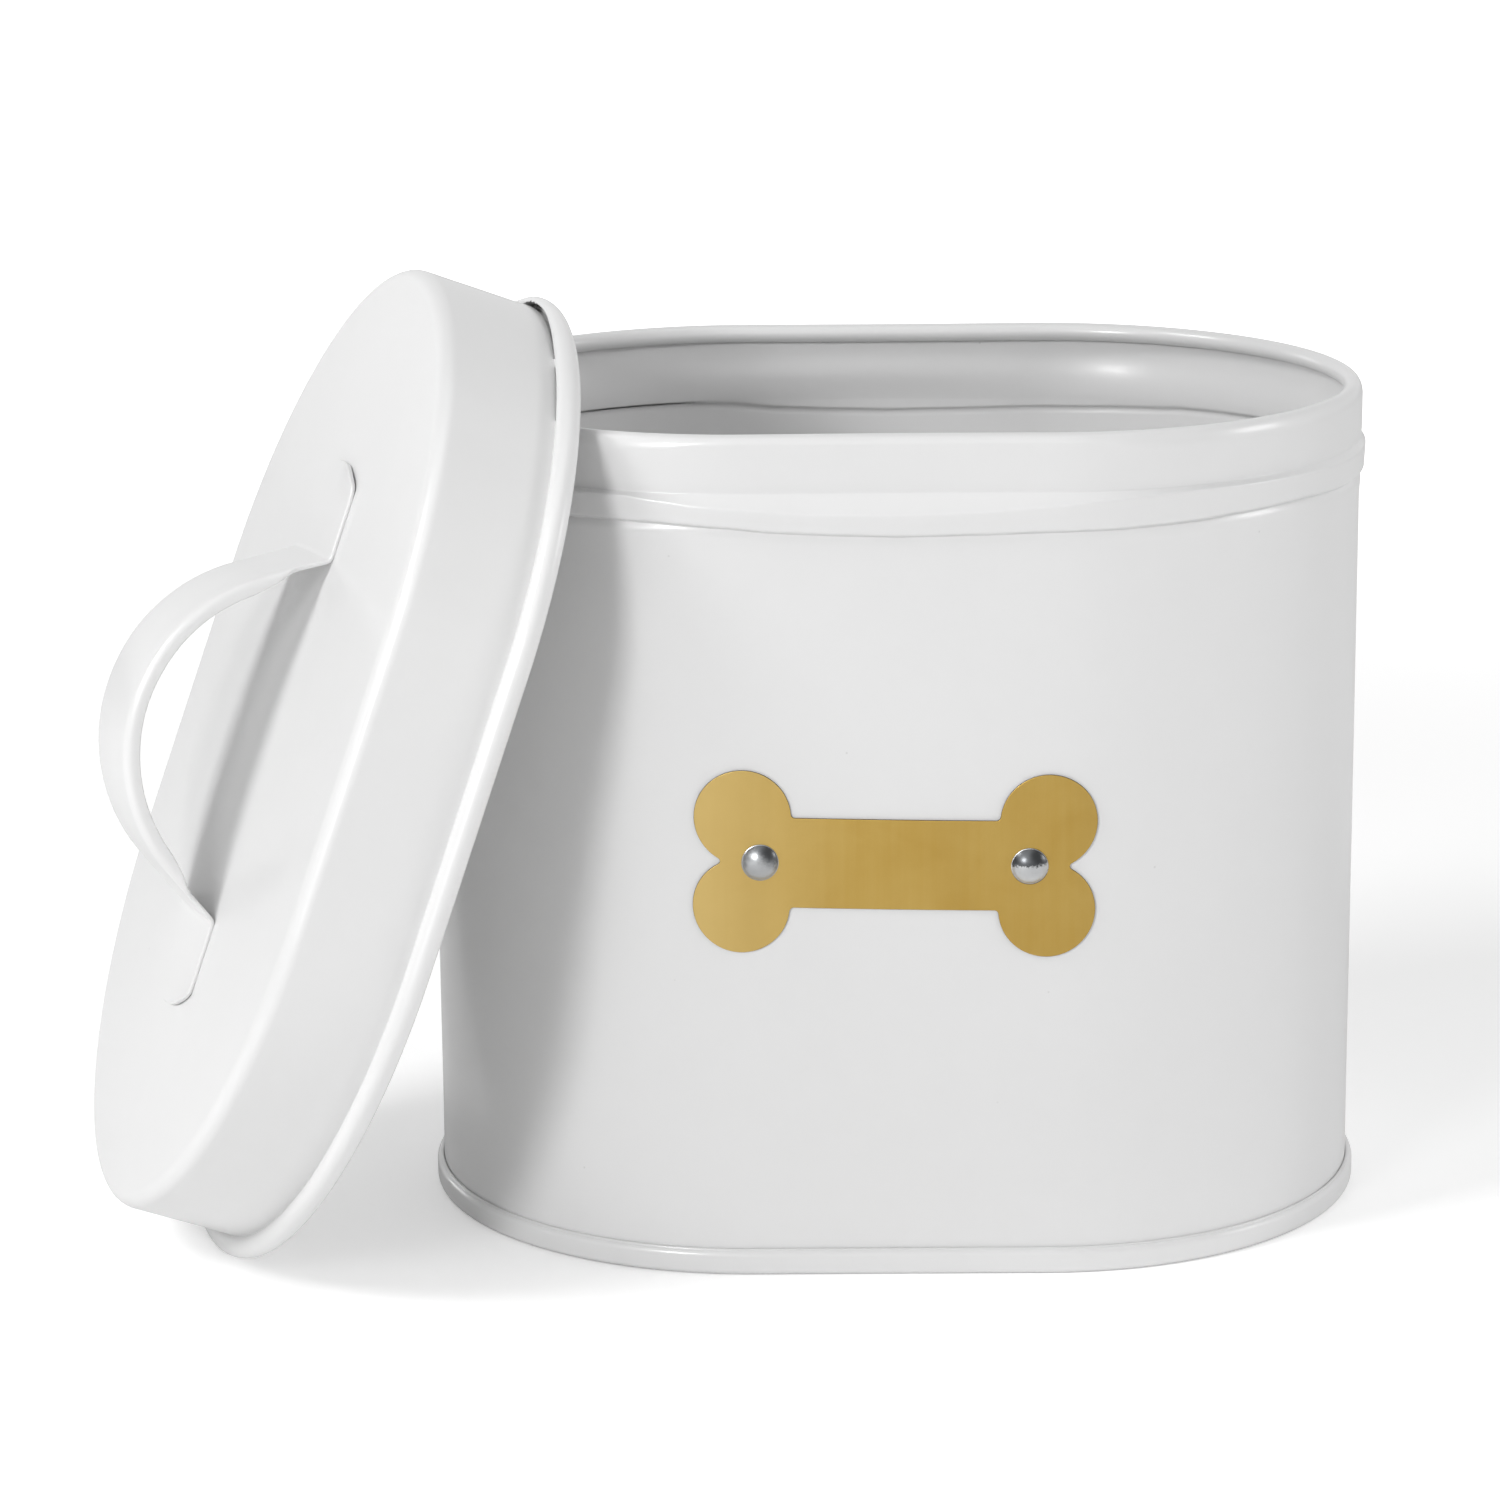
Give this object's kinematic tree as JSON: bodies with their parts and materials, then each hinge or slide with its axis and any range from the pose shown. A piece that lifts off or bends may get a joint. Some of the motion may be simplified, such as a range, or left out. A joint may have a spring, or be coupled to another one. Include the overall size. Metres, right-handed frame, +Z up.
{
  "type": "pet food bin",
  "caption": "Oval sheet-metal storage bin with a rolled rim and swaged bead, a riveted bone-shaped plate, and a loose deep lid with a strap handle leaning against its end.",
  "frame": {"origin": "on the floor plane, at the centre of the bin's base", "axes": "+Z up along the bin's axis, +X along the bin's long side away from the leaning lid, -Y the front face that carries the plate"},
  "size_m": [0.3465, 0.2297, 0.2561],
  "materials": {
    "white_coat": "glossy white powder coat on thin steel sheet",
    "white_coat_lid": "glossy white powder coat on thin steel sheet",
    "brass_plate": "satin gold-coloured sheet",
    "rivet_steel": "bright zinc-plated steel, lightly scuffed"
  },
  "bodies": {
    "bin": {"body_wall": "white_coat", "base_pan": "white_coat", "bone_plate": "brass_plate", "rivet_left": "rivet_steel", "rivet_right": "rivet_steel", "washer_left": "rivet_steel", "washer_right": "rivet_steel"},
    "lid": {"lid_shell": "white_coat_lid", "lid_handle": "white_coat_lid"}
  },
  "joints": [
    {"name": "lid_lift", "type": "slide", "parent": "bin", "child": "lid", "axis": [-0.892, -0.2657, 0.3658], "range_m": [0, 0.18]}
  ]
}
